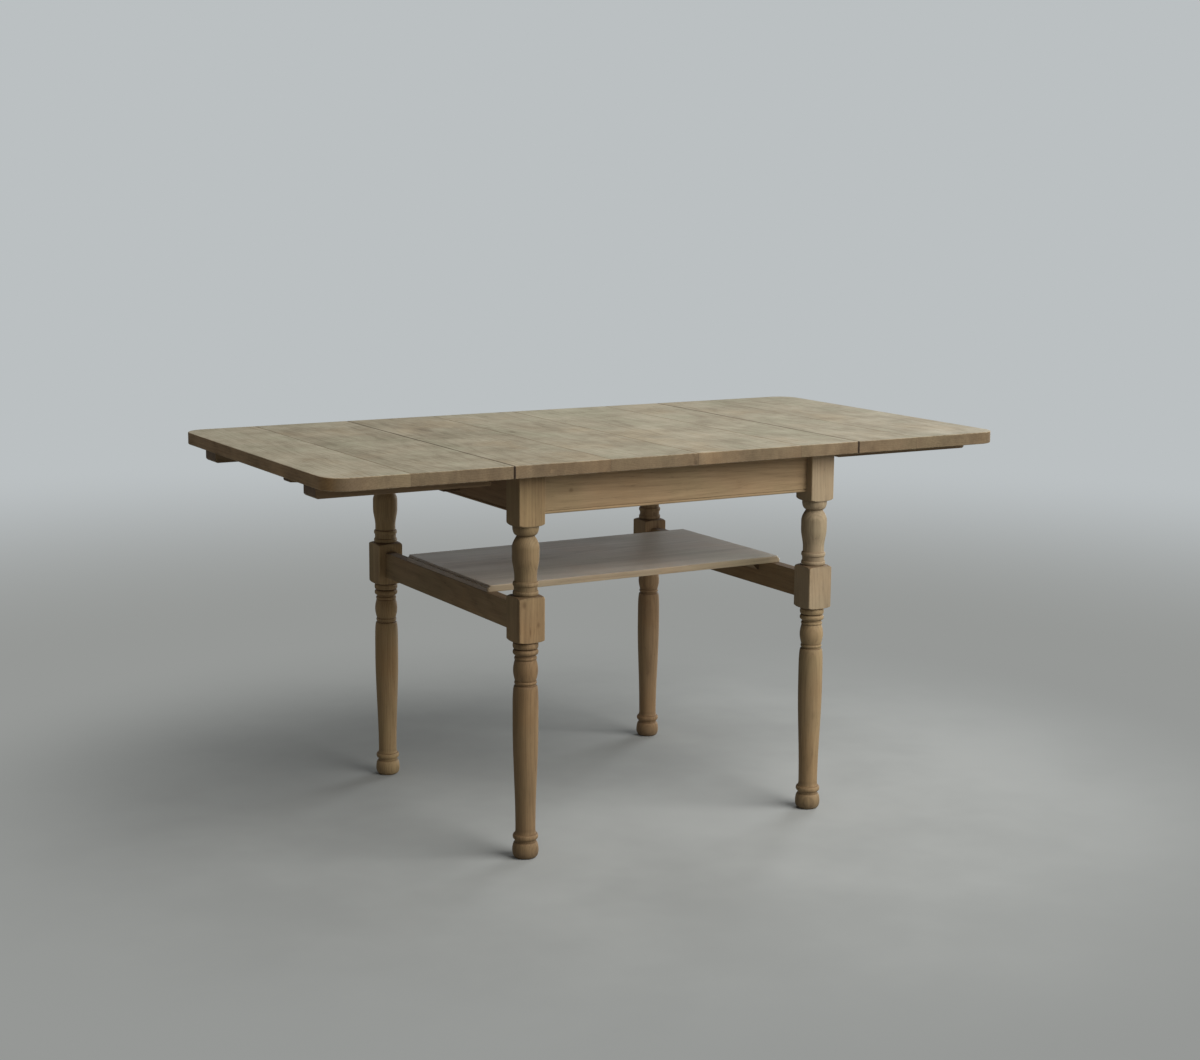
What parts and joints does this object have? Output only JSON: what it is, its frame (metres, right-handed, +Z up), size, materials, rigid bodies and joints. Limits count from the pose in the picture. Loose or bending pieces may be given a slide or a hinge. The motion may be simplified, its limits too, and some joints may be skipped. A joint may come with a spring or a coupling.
{
  "type": "butterfly extension table",
  "caption": "Old oak drop-leaf dining table with turned legs, a low shelf on side rails, and hinged end leaves held up by swinging props.",
  "frame": {"origin": "on the floor, at the middle of the table", "axes": "+X along the length to the right leaf, +Y from front to back, +Z up"},
  "size_m": [1.43, 0.735, 0.73],
  "materials": {
    "top_wood": "bare, greyed oak, dry",
    "frame_wood": "bare, warm brown oak, slightly worn",
    "shelf_wood": "dull dark brown with paler edges",
    "prop_wood": "bare, darker oak",
    "iron": "dark, aged"
  },
  "bodies": {
    "frame": {"leg_front_left": "frame_wood", "leg_front_right": "frame_wood", "leg_back_left": "frame_wood", "leg_back_right": "frame_wood", "apron_front": "frame_wood", "apron_back": "frame_wood", "apron_left": "frame_wood", "apron_right": "frame_wood", "rail_left": "frame_wood", "rail_right": "frame_wood", "shelf": "shelf_wood", "shelf_blocks": "prop_wood", "centre_board_1": "top_wood", "centre_board_2": "top_wood", "centre_board_3": "top_wood", "centre_board_4": "top_wood", "top_buttons": "prop_wood", "button_screws": "iron", "left_prop_pin": "iron", "right_prop_pin": "iron", "left_prop_block": "prop_wood", "right_prop_block": "prop_wood", "prop_block_screws": "iron", "left_hinge_front_top": "iron", "left_hinge_back_top": "iron", "right_hinge_front_top": "iron", "right_hinge_back_top": "iron", "left_hinge_pins": "iron", "right_hinge_pins": "iron", "hinge_top_screws": "iron"},
    "left_leaf": {"left_inner_board": "top_wood", "left_outer_board": "top_wood", "left_batten_front": "top_wood", "left_batten_back": "top_wood", "left_batten_screws": "iron", "left_catch": "prop_wood", "left_catch_screws": "iron", "left_hinge_front_leaf": "iron", "left_hinge_back_leaf": "iron", "left_hinge_leaf_screws": "iron"},
    "right_leaf": {"right_inner_board": "top_wood", "right_outer_board": "top_wood", "right_batten_front": "top_wood", "right_batten_back": "top_wood", "right_batten_screws": "iron", "right_catch": "prop_wood", "right_catch_screws": "iron", "right_hinge_front_leaf": "iron", "right_hinge_back_leaf": "iron", "right_hinge_leaf_screws": "iron"},
    "left_prop": {"left_prop": "prop_wood"},
    "right_prop": {"right_prop": "prop_wood"}
  },
  "joints": [
    {"name": "left_leaf_fold", "type": "hinge", "parent": "frame", "child": "left_leaf", "pos_m": [-0.3685, 0, 0.707], "axis": [0, -1, 0], "range_deg": [0, 90]},
    {"name": "right_leaf_fold", "type": "hinge", "parent": "frame", "child": "right_leaf", "pos_m": [0.3685, 0, 0.707], "axis": [0, 1, 0], "range_deg": [0, 90]},
    {"name": "left_prop_swing", "type": "hinge", "parent": "frame", "child": "left_prop", "pos_m": [-0.345, 0, 0.665], "axis": [0, -1, 0], "range_deg": [0, 95]},
    {"name": "right_prop_swing", "type": "hinge", "parent": "frame", "child": "right_prop", "pos_m": [0.345, 0, 0.665], "axis": [0, 1, 0], "range_deg": [0, 95]}
  ],
  "couplings": [
    {"joint": "left_prop_swing", "follows": "left_leaf_fold", "ratio": 1.05},
    {"joint": "right_prop_swing", "follows": "right_leaf_fold", "ratio": 1.05}
  ]
}
